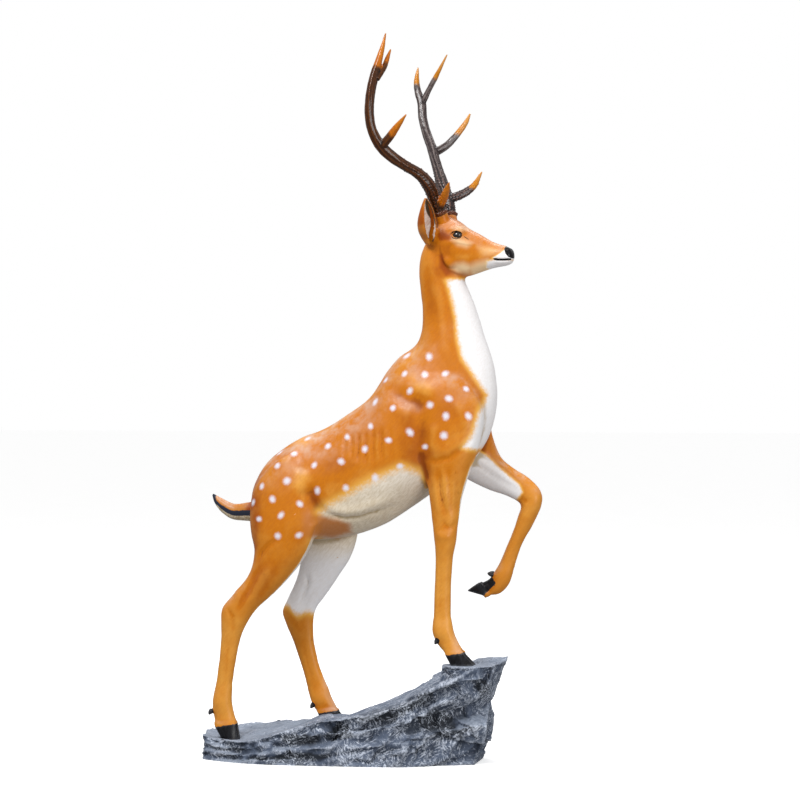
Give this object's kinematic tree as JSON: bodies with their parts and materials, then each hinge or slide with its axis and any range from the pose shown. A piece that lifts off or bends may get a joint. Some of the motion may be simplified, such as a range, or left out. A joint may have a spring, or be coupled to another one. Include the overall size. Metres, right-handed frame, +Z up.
{
  "type": "painted stag sculpture",
  "caption": "Life-size painted sika stag in fibreglass, stepping up a low sloping rock with one foreleg raised, separate branched antlers on its head.",
  "frame": {"origin": "middle of the rock's underside, between its two long sides and on the ground", "axes": "+X the way the stag faces and steps up, +Y to its left, +Z up"},
  "size_m": [0.9976, 0.4254, 1.9965],
  "materials": {
    "coat": "painted fibreglass, satin lacquer, orange-tan coat with white spots, belly and throat",
    "antler": "glossy dark brown with amber tips",
    "rock": "slate grey fibreglass, dry-brushed white on the edges"
  },
  "bodies": {
    "root": {"deer_figure": "coat", "antler_right": "antler", "antler_left": "antler", "rock_base": "rock"}
  },
  "joints": []
}
